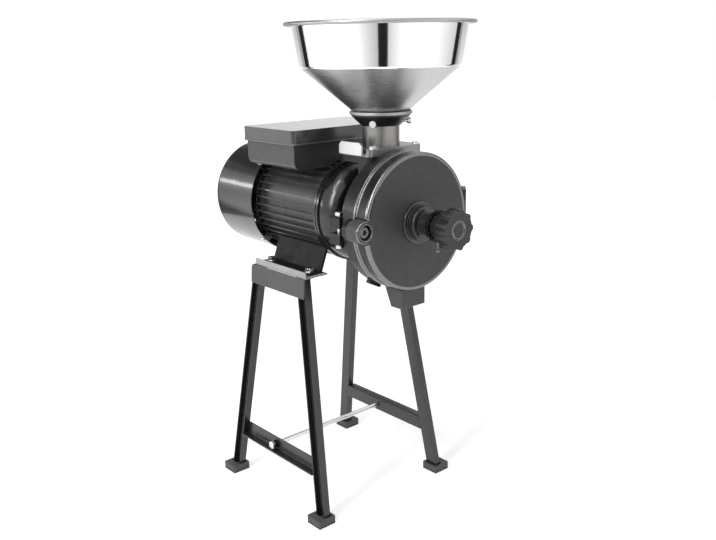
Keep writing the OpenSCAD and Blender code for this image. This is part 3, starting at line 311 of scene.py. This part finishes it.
# plastics and rubber
mouldings = {
    "footRubber": dict(colour=(0.085, 0.085, 0.087), rough=0.62, grain=0.45, grainScale=700),
    "switchPlastic": dict(colour=(0.02, 0.02, 0.02), rough=0.45),
    "rockerPlastic": dict(colour=(0.42, 0.02, 0.015), rough=0.28, grain=0.05),
    "fanPlastic": dict(colour=(0.03, 0.03, 0.03)),
    "knobPlastic": dict(colour=(0.022, 0.022, 0.024), rough=0.2, grain=0.10, grainScale=1100),
}
finishes = {}
for maker, recipes in ((paintedFinish, paints), (castFinish, castings), (steelFinish, metals),
                       (mouldedFinish, mouldings)):
    finishes.update({name: maker(name, **recipe) for name, recipe in recipes.items()})
print("finishes ready:", len(finishes))


# edges sharper than these angles, in degrees, are rounded or split
rounding = {"weld": 0.00002, "segments": 2, "bevelAngle": 33, "splitAngle": 30}


def softenEdges(obj, width):
    # joins the loose triangles, rounds the sharp edges and shades by face size; with no width the sharp
    # edges are split and stay sharp
    mesh = obj.data
    if "custom_normal" in mesh.attributes:
        mesh.attributes.remove(mesh.attributes["custom_normal"])
    mesh.polygons.foreach_set("use_smooth", np.ones(len(mesh.polygons), dtype=bool))
    weld = obj.modifiers.new("joinTriangles", "WELD")
    weld.merge_threshold = rounding["weld"]
    if width > 0:
        bevel = obj.modifiers.new("roundEdges", "BEVEL")
        bevel.width = width
        bevel.segments = rounding["segments"]
        bevel.limit_method = "ANGLE"
        bevel.angle_limit = math.radians(rounding["bevelAngle"])
        bevel.miter_outer = "MITER_ARC"
        bevel.use_clamp_overlap = True
    else:
        split = obj.modifiers.new("splitEdges", "EDGE_SPLIT")
        split.split_angle = math.radians(rounding["splitAngle"])
        split.use_edge_sharp = False
    obj.modifiers.new("weighNormals", "WEIGHTED_NORMAL").keep_sharp = True


def dress(name, finish, width):
    obj = nodes[name]
    obj.data.materials.clear()
    obj.data.materials.append(finishes[finish])
    softenEdges(obj, width)


# each finish with the nodes that wear it and the width of their rounded edges
outfit = {
    "standPaint": (["leg_rear_left", "leg_front_left", "leg_rear_right", "leg_front_right", "brace_left",
                    "brace_right"], 0.0009),
    "plateGrey": (["header_left", "header_right"], 0.0009),
    "flangeGrey": (["base_angle_left", "base_angle_right"], 0.0009),
    "bracketPaint": (["motor_foot_left", "motor_foot_right"], 0.0009),
    "footRubber": (["foot_rear_left", "foot_front_left", "foot_rear_right", "foot_front_right"], 0.0007),
    "zincPlate": (["tie_rod", "foot_bolts", "fan_cover_screws", "housing_bolts", "clamp_bolt",
                   "flange_bolts", "thumb_screw_1", "thumb_screw_2", "thumb_screw_3"], 0.0005),
    "gunMetal": (["closing_bolt", "closing_bolt_head", "lock_lever", "hinge_pin"], 0.0005),
    "blackenedSteel": (["tie_nuts", "lock_ring"], 0.0005),
    "finPaint": (["motor_frame"], 0.0),
    "bellPaint": (["front_bell", "rear_bell"], 0.0012),
    "fanCoverPaint": (["fan_cover"], 0.0),
    "boxPaint": (["capacitor_box"], 0.0010),
    "lidPaint": (["capacitor_box_lid"], 0.0022),
    "switchPlastic": (["power_switch", "cable_gland"], 0.0005),
    "rockerPlastic": (["switch_rocker"], 0.0005),
    "turnedSteel": (["front_bearing", "rear_bearing", "motor_shaft", "rotor_core", "feed_auger",
                     "adjusting_screw"], 0.0),
    "copperWinding": (["stator"], 0.002),
    "capacitorCan": (["capacitors"], 0.001),
    "fanPlastic": (["cooling_fan"], 0.0),
    "burrIron": (["fixed_burr", "rotating_burr"], 0.0),
    "housingPaint": (["housing"], 0.0012),
    "coverPaint": (["front_cover"], 0.0012),
    "chutePaint": (["outlet_chute"], 0.0012),
    "knobPlastic": (["adjusting_knob"], 0.0012),
    "neckMetal": (["inlet_flange"], 0.0008),
    "gateMetal": (["feed_gate"], 0.0006),
    "hopperSteel": (["hopper"], 0.0),
    "collarPaint": (["hopper_collar"], 0.0005),
}
for finish, (members, width) in outfit.items():
    for member in members:
        dress(member, finish, width)
print("nodes dressed")


def filletProfile(points, radii, steps=6, most=0.45):
    # corner p gives way to the curve a(1-t)^2 + 2p t(1-t) + b t^2 from a to b on its two sides, which lie
    # its radius away from it, or the share most of the side's length if that is less
    points = np.asarray(points, dtype=float)
    t = np.linspace(0, 1, steps)[:, None]
    out = []
    for k, (p, radius) in enumerate(zip(points, radii)):
        if radius <= 0:
            out.append(p[None, :])
            continue
        toLast, toNext = points[k - 1] - p, points[(k + 1) % len(points)] - p
        lastSide, nextSide = np.linalg.norm(toLast), np.linalg.norm(toNext)
        a = p + toLast / lastSide * min(radius, lastSide * most)
        b = p + toNext / nextSide * min(radius, nextSide * most)
        out.append(a * (1 - t) ** 2 + 2 * p * t * (1 - t) + b * t ** 2)
    return np.concatenate(out)


def sweptMesh(name, grid, inward, span=None):
    # faces between neighbouring points of a grid of places by outline points; the outlines are closed, and
    # so is the row of places unless a span is given, when each end gets a face
    count, m = grid.shape[:2]
    i, j = np.meshgrid(np.arange(count - 1 if span else count), np.arange(m), indexing="ij")
    ni, nj = (i + 1) % count, (j + 1) % m
    quads = np.stack([i * m + j, ni * m + j, ni * m + nj, i * m + nj], axis=-1).reshape(-1, 4)
    ends = np.stack([np.arange(m), np.arange(count * m - 1, count * m - m - 1, -1)])[:2 if span else 0]
    if inward:
        quads, ends = quads[:, ::-1], ends[:, ::-1]
    mesh = bpy.data.meshes.new(name)
    mesh.from_pydata(grid.reshape(-1, 3).tolist(), [], quads.tolist() + ends.tolist())
    mesh.polygons.foreach_set("use_smooth", np.arange(len(mesh.polygons)) < len(quads))
    obj = bpy.data.objects.new(name, mesh)
    bpy.context.scene.collection.objects.link(obj)
    obj.modifiers.new("weighNormals", "WEIGHTED_NORMAL")
    return obj


def turnedMesh(name, profile, centre, count=192, lying=False, span=None):
    # radius r and height h of the closed profile carried round a line through centre: upright, x = r cos a
    # and y = r sin a; lying along the motor axis, x = r cos a, z = r sin a and y = -h; a span in degrees
    # gives an arc
    r, z = profile[:, 0], profile[:, 1]
    first, last = np.radians(span or (0, 360))
    turn = np.linspace(first, last, count, endpoint=span is not None)[:, None]
    across = centre[0] + r[None, :] * np.cos(turn)
    around = centre[1] + r[None, :] * np.sin(turn)
    along = np.broadcast_to(z[None, :], across.shape)
    grid = np.stack([across, -along, around] if lying else [across, around, along], axis=-1)
    return sweptMesh(name, grid, np.sum(r * np.roll(z, -1) - np.roll(r, -1) * z) < 0, span)


hopperShape = {"rimRadius": 0.145, "rimTop": 0.794, "roll": 0.003, "rollSpan": 168, "rollSteps": 22,
               "bandTop": 0.133, "bandHeight": 0.062, "crease": 0.1228, "coneHeight": 0.0667,
               "coneBottom": 0.0445, "spigot": 0.0257, "spigotLength": 0.034, "spigotFlare": 0.0003,
               "footSlope": 0.0002, "sheet": 0.0012, "steps": 256}
# how far the outline's corners are rounded
hopperCorners = {"rim": 0.003, "crease": 0.0022, "foot": 0.002, "throat": 0.001, "lip": 0.0004}
# the rim's darker steel, a painted shade, reaches so far below the roll's middle and starts clear of the
# band, with the painted dark shade line just under the rim in it
hopperZones = {"rimDrop": 0.0035, "rimClear": 0.0002, "shadeLineDrop": 0.0003, "shadeLineReach": 0.0016}


def hopperLevels(s):
    # heights of the rolled rim's middle, the crease and the cone's foot
    rimZ = s["rimTop"] - s["roll"]
    bandZ = rimZ - s["bandHeight"]
    return rimZ, bandZ, bandZ - s["coneHeight"]


def makeHopper(s, corners, zones):
    # rolled rim, band, cone and spigot as one closed sheet outline, rows of radius, height and corner radius
    rimZ, bandZ, coneZ = hopperLevels(s)
    t = s["sheet"]
    a = np.radians(np.linspace(s["rollSpan"], -s["rollSpan"], s["rollSteps"]))
    roll = np.stack([s["rimRadius"] - s["roll"] + s["roll"] * np.cos(a), rimZ + s["roll"] * np.sin(a),
                     np.zeros(len(a))], axis=1)
    outline = np.array([[s["bandTop"] - t, rimZ + t / 2, corners["rim"]],
                        *roll.tolist(),
                        [s["bandTop"], rimZ - t / 2, corners["rim"]],
                        [s["crease"], bandZ, corners["crease"]],
                        [s["coneBottom"], coneZ + s["footSlope"], corners["foot"]],
                        [s["spigot"] + s["spigotFlare"], coneZ - s["footSlope"], corners["throat"]],
                        [s["spigot"], coneZ - s["spigotLength"], corners["lip"]],
                        [s["spigot"] - t, coneZ - s["spigotLength"], corners["lip"]],
                        [s["spigot"] - t, coneZ + t / 2, corners["throat"]],
                        [s["coneBottom"] - t, coneZ + t, corners["foot"]],
                        [s["crease"] - t, bandZ + t / 2, corners["crease"]]])
    profile = filletProfile(outline[:, :2], outline[:, 2])
    hopper = turnedMesh("hopperSheet", profile, (0, hopperAxisY), s["steps"])
    # the band's steel, then darker copies of it as painted shade for the cone and the rim, and a painted
    # dark line under the rim
    for finish in ("hopperSteel", "coneSteel", "rimSteel", "seamSteel"):
        hopper.data.materials.append(finishes[finish])
    centres = np.empty(len(hopper.data.polygons) * 3)
    hopper.data.polygons.foreach_get("center", centres)
    x, y, z = centres.reshape(-1, 3).T
    out = np.hypot(x, y - hopperAxisY)
    # painted shade: the downward cone wears the darker cone steel
    onCone = z < bandZ - t
    # painted shade: the rim takes the darker rim steel, and the fillet just under it takes the dark shade
    # line
    onRim = (z > rimZ - zones["rimDrop"]) & (out > s["bandTop"] + zones["rimClear"])
    inShadeLine = onRim & (z < rimZ - zones["shadeLineDrop"]) & (out < s["bandTop"] + zones["shadeLineReach"])
    hopper.data.polygons.foreach_set("material_index", (onCone + 2 * onRim + inShadeLine).astype(np.int32))
    return hopper


ringShape = {"radius": 0.0487, "height": 0.0053, "gap": 0.0004, "drop": 0.0003,
             "corners": (0.0005, 0.0016, 0.0016, 0.0005)}


def makeHopperRing(ring, s):
    # stepped ring under the cone, around the spigot
    coneZ = hopperLevels(s)[2]
    bore = s["spigot"] + ring["gap"]
    outline = [[bore, coneZ - ring["gap"]], [ring["radius"], coneZ - ring["drop"]],
               [ring["radius"], coneZ - ring["height"]], [bore, coneZ - ring["height"]]]
    band = turnedMesh("hopperRing", filletProfile(outline, ring["corners"]), (0, hopperAxisY))
    band.data.materials.append(finishes["ringSteel"])
    return band


hopperSheet = makeHopper(hopperShape, hopperCorners, hopperZones)
hopperRing = makeHopperRing(ringShape, hopperShape)
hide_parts("hopper")
for piece in (hopperSheet, hopperRing):
    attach(piece, "hopper_body")
print("hopper turned")


bandSpan = (-170.5, 170.5)  # the cover's bands stop at the lug
# outlines as (radius, distance in front of the motor's middle) in mm, and a rounding for each corner; aside
# is how far the middle lies to the right of the motor axis, and span is the arc in degrees
millTrim = {
    "drumRim": dict(
        body="mill_body", slot="cast_paint", finish="glossTrim",
        outline=[(104.0, 142.5), (106.6, 143.2), (107.2, 145.8), (106.6, 148.4), (104.0, 148.4)],
        corners=[0.2, 0.8, 1.2, 0.8, 0.2]),
    "coverLip": dict(
        body="cover", slot="cover_paint", finish="glossTrim", span=bandSpan,
        outline=[(104.0, 149.3), (106.4, 149.3), (107.0, 150.8), (106.2, 152.4), (104.0, 153.0)],
        corners=[0.2, 0.6, 0.9, 0.8, 0.2]),
    # painted shade: the side band wears a darker copy of the cover's paint
    "coverSide": dict(
        body="cover", slot="cover_paint", finish="sidePaint", span=bandSpan,
        outline=[(104.0, 152.6), (105.3, 152.6), (105.3, 167.6), (104.0, 167.6)],
        corners=[0, 0.1, 0.1, 0]),
    "coverShoulder": dict(
        body="cover", slot="cover_paint", finish="glossTrim", span=bandSpan,
        outline=[(104.0, 167.0), (105.4, 167.2), (106.2, 168.6), (106.3, 171.4), (104.6, 173.9),
                 (102.4, 174.2), (100.4, 174.0), (100.0, 172.5)],
        corners=[0.2, 0.4, 0.8, 1.8, 1.8, 1.0, 0.6, 0.2]),
    "bossTrim": dict(
        body="cover", slot="cover_paint", finish="bossGloss",
        outline=[(6.6, 172.6), (33.0, 172.6), (33.3, 176.6), (31.6, 178.0), (27.6, 178.0), (27.4, 189.4),
                 (25.2, 190.9), (17.6, 190.9), (17.2, 207.4), (16.0, 208.6), (6.6, 208.6)],
        corners=[0, 0.3, 1.4, 0.8, 0.5, 1.2, 1.2, 0.6, 0.8, 0.8, 0.3]),
    "knobDish": dict(
        body="knob", slot="knob_plastic", finish="dishSteel",
        outline=[(14.9, 253.1), (14.9, 256.9), (13.9, 256.9), (12.7, 255.0), (11.1, 255.2), (10.1, 256.5),
                 (10.1, 253.1)],
        corners=[0, 0.2, 0.5, 1.4, 1.4, 0.3, 0]),
    "lugRing": dict(
        body="cover", slot="cover_paint", finish="glossTrim", aside=-106,
        outline=[(11.6, 172.4), (13.4, 172.4), (13.4, 173.8), (12.6, 174.2), (11.6, 173.9)],
        corners=[0, 0, 0.6, 0.8, 0.5]),
    "lugEdge": dict(
        body="cover", slot="cover_paint", finish="glossTrim", aside=-106, span=(72, 288),
        outline=[(15.2, 171.6), (17.2, 171.4), (17.3, 172.6), (16.6, 173.8), (15.4, 174.0)],
        corners=[0, 0.2, 0.8, 0.9, 0.4]),
}


def makeTrim(name, body, slot, finish, outline, corners, aside=0, span=None):
    # outline in mm, turned round a line along the motor axis
    profile = filletProfile(np.array(outline) / 1000, np.array(corners) / 1000)
    trim = turnedMesh(name, profile, (aside / 1000, axisHeight), lying=True, span=span)
    trim.data.materials.append(finishes[finish])
    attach(trim, body)


for name, settings in millTrim.items():
    makeTrim(name, **settings)
print("rims and boss turned")


lidBead = {"half": (0.112, 0.0685), "middle": (0.0, 0.0546), "corner": 0.007, "height": 0.6124,
           "radius": 0.0012, "cornerSteps": 13, "roundSteps": 16}


def makeLidBead(b):
    # half-sunk round bead along the lid's lower edge, a rectangle with round corners: out along the normal
    # of the edge by r cos t, up by r sin t
    steps = b["cornerSteps"]
    corners = np.array([[1, -1], [1, 1], [-1, 1], [-1, -1]]) * (np.array(b["half"]) - b["corner"])
    quarter = np.radians(np.linspace(0, 90, steps))
    turn = (quarter[None, :] + np.radians(np.array([-90, 0, 90, 180]))[:, None]).reshape(-1)
    normal = np.stack([np.cos(turn), np.sin(turn)], axis=1)
    place = np.repeat(corners, steps, axis=0) + normal * b["corner"] + np.array(b["middle"])
    t = np.linspace(0, 2 * np.pi, b["roundSteps"], endpoint=False)
    out = normal[:, None, :] * b["radius"] * np.cos(t)[None, :, None]
    up = np.broadcast_to((b["height"] + b["radius"] * np.sin(t))[None, :, None], (len(place), len(t), 1))
    return sweptMesh("lidBead", np.concatenate([place[:, None, :] + out, up], axis=2), False)


bead = makeLidBead(lidBead)
# the bead's lighter paint is a painted highlight along the lid's lower edge
bead.data.materials.append(finishes["beadGloss"])
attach(bead, "mill_body")
print("lid beaded")


def stageMesh(name, points, faces):
    mesh = bpy.data.meshes.new(name)
    mesh.from_pydata(np.asarray(points, dtype=float).tolist(), [], faces)
    obj = bpy.data.objects.new(name, mesh)
    bpy.context.scene.collection.objects.link(obj)
    return obj


def stagePlane(name, corners):
    return stageMesh(name, corners, [(0, 1, 2, 3)])


def reflectionsOnly(card, material):
    # the card shows in reflections and nowhere else, and throws no shadow
    card.data.materials.append(material)
    card.visible_camera = False
    card.visible_diffuse = False
    card.visible_shadow = False


def brightWhereSeen(tree, plain, bright, output):
    # camera, glossy and transmission rays see the bright shader, other rays the plain one
    path = tree.nodes.new("ShaderNodeLightPath")
    rays = path.outputs["Is Camera Ray"]
    for kind in ("Is Glossy Ray", "Is Transmission Ray"):
        either = tree.nodes.new("ShaderNodeMath")
        either.operation = "MAXIMUM"
        tree.links.new(rays, either.inputs[0])
        tree.links.new(path.outputs[kind], either.inputs[1])
        rays = either.outputs[0]
    mix = tree.nodes.new("ShaderNodeMixShader")
    tree.links.new(rays, mix.inputs[0])
    tree.links.new(plain, mix.inputs[1])
    tree.links.new(bright, mix.inputs[2])
    tree.links.new(mix.outputs[0], output.inputs["Surface"])


worldLight = 0.36  # light from all around; the backdrop itself is seen as plain white


def makeWorld(level):
    world = bpy.data.worlds.new("studioWorld")
    bpy.context.scene.world = world
    world.use_nodes = True
    tree = world.node_tree
    ambient = tree.nodes["Background"]
    backdrop = tree.nodes.new("ShaderNodeBackground")
    for shader, strength in ((ambient, level), (backdrop, 1.0)):
        shader.inputs["Color"].default_value = (1, 1, 1, 1)
        shader.inputs["Strength"].default_value = strength
    brightWhereSeen(tree, ambient.outputs[0], backdrop.outputs[0], tree.nodes["World Output"])


makeWorld(worldLight)


floorLook = {"colour": (0.86, 0.86, 0.86), "mottle": 0.99, "patches": (3, 2), "rough": 0.9, "shine": 0.1,
             "patchRough": 0.5, "glow": (0.60, 0.95), "glowSpan": (0.9, 2.4), "reach": 9.0}


def makeFloor(look):
    # matt floor with a shadow near the mill; its glow grows over glowSpan, in metres from the mill's middle
    mat, tree, shader, place = nodeTree("studioFloor")
    shader.inputs["Roughness"].default_value = look["rough"]
    shader.inputs["Specular IOR Level"].default_value = look["shine"]
    patches = noiseField(tree, place, *look["patches"], rough=look["patchRough"])
    tree.links.new(rampBetween(tree, patches, tint(look["colour"], look["mottle"]), look["colour"]),
                   shader.inputs["Base Color"])
    away = tree.nodes.new("ShaderNodeVectorMath")
    away.operation = "LENGTH"
    tree.links.new(place, away.inputs[0])
    glow = tree.nodes.new("ShaderNodeEmission")
    tree.links.new(levelBetween(tree, away.outputs["Value"], *look["glow"], *look["glowSpan"]),
                   glow.inputs["Strength"])
    lift = tree.nodes.new("ShaderNodeAddShader")
    tree.links.new(shader.outputs[0], lift.inputs[0])
    tree.links.new(glow.outputs[0], lift.inputs[1])
    brightWhereSeen(tree, shader.outputs[0], lift.outputs[0], tree.nodes["Material Output"])
    r = look["reach"]
    floor = stagePlane("studioFloor", [(-r, -r, 0), (r, -r, 0), (r, r, 0), (-r, r, 0)])
    floor.data.materials.append(mat)


makeFloor(floorLook)


# a card is its turn from the camera's side of the hopper, its spread in degrees and its height
flagLook = {"colour": (0.004, 0.004, 0.004, 1), "distance": 1.25,
            "cards": [(1.8, 12.5, 0.62), (-121.0, 12.0, 0.66), (116.0, 11.0, 0.66)],
            "overhead": {"half": 2.2, "behind": 2.3, "low": 1.5, "high": 3.5}}


def makeFlags(look):
    # upright black cards on a circle round the hopper and one high up behind it, seen in reflections only
    mat = bpy.data.materials.new("blackFlag")
    mat.use_nodes = True
    shader = mat.node_tree.nodes["Principled BSDF"]
    shader.inputs["Base Color"].default_value = look["colour"]
    shader.inputs["Roughness"].default_value = 1.0
    d = look["distance"]
    for k, (aside, spread, top) in enumerate(look["cards"]):
        turns = (math.radians(viewpoint["azimuth"] - 90 + aside + side * spread / 2) for side in (-1, 1))
        left, right = ((d * math.cos(a), hopperAxisY + d * math.sin(a)) for a in turns)
        card = stagePlane(f"blackFlag{k}", [(*left, 0), (*right, 0), (*right, top), (*left, top)])
        reflectionsOnly(card, mat)
    x, y, low, high = (look["overhead"][k] for k in ("half", "behind", "low", "high"))
    overhead = stagePlane("overheadFlag", [(-x, y, low), (x, y, low), (x, y, high), (-x, y, high)])
    reflectionsOnly(overhead, mat)


makeFlags(flagLook)


# a card is its two turns from the camera's side of the hopper, first the clear end and then the grey one
veilLook = {"colour": (0.34, 0.34, 0.34, 1), "cover": 0.85, "behindFlags": 0.06, "height": 1.1, "steps": 24,
            "cards": [(-58, -2), (36, 0), (62, 128), (-104, -136), (172, 120), (-176, -125)]}


def veilMaterial(look):
    # clear where the first texture coordinate is 0, and grey up to the share cover where it is 1
    mat = bpy.data.materials.new("greyVeil")
    mat.use_nodes = True
    tree = mat.node_tree
    tree.nodes.remove(tree.nodes["Principled BSDF"])
    place = tree.nodes.new("ShaderNodeUVMap")
    split = tree.nodes.new("ShaderNodeSeparateXYZ")
    tree.links.new(place.outputs[0], split.inputs[0])
    clear = tree.nodes.new("ShaderNodeBsdfTransparent")
    grey = tree.nodes.new("ShaderNodeEmission")
    grey.inputs["Color"].default_value = look["colour"]
    mix = tree.nodes.new("ShaderNodeMixShader")
    tree.links.new(levelBetween(tree, split.outputs[0], 0.0, look["cover"], 0.0, 1.0), mix.inputs[0])
    tree.links.new(clear.outputs[0], mix.inputs[1])
    tree.links.new(grey.outputs[0], mix.inputs[2])
    tree.links.new(mix.outputs[0], tree.nodes["Material Output"].inputs["Surface"])
    return mat


def makeVeils(look, distance):
    # upright cards behind the black ones: x = d cos a and y = d sin a round the hopper, from the floor up
    mat = veilMaterial(look)
    d = distance + look["behindFlags"]
    n = look["steps"]
    low = np.arange(n)[:, None]
    for k, (clear, grey) in enumerate(look["cards"]):
        a = np.radians(viewpoint["azimuth"] - 90 + np.linspace(clear, grey, n + 1))
        line = np.stack([d * np.cos(a), hopperAxisY + d * np.sin(a), np.zeros(n + 1)], axis=1)
        veil = stageMesh(f"greyVeil{k}", np.concatenate([line, line + (0, 0, look["height"])]),
                         (low + (0, 1, n + 2, n + 1)).tolist())
        along = ((low + (0, 1, 1, 0)) / n).ravel().repeat(2)
        veil.data.uv_layers.new(name="along").data.foreach_set("uv", along)
        reflectionsOnly(veil, mat)


makeVeils(veilLook, flagLook["distance"])


lampAim = (0, 0, 0.5)
lamps = {"keyLamp": {"place": (-2.5, -0.5, 1.9), "size": (0.42, 1.6), "power": 34.0},
         "fillLamp": {"place": (1.8, -2.0, 1.6), "size": (1.4, 1.4), "power": 5.0},
         "topLamp": {"place": (-0.85, 0.0, 2.35), "size": (0.2, 1.7), "power": 13.0},
         "stripLamp": {"place": (-1.9, 2.1, 1.05), "size": (1.6, 0.22), "power": 9.0}}


def softLamp(name, place, size, power):
    # a flat lamp that looks at the mill
    data = bpy.data.lights.new(name, "AREA")
    data.shape = "RECTANGLE"
    data.size, data.size_y = size
    data.energy = power
    lamp = bpy.data.objects.new(name, data)
    bpy.context.scene.collection.objects.link(lamp)
    lamp.location = place
    lamp.rotation_euler = (Vector(lampAim) - Vector(place)).to_track_quat("-Z", "Y").to_euler()


for name, settings in lamps.items():
    softLamp(name, **settings)
bpy.context.scene.view_settings.view_transform = "Standard"
print("studio set")
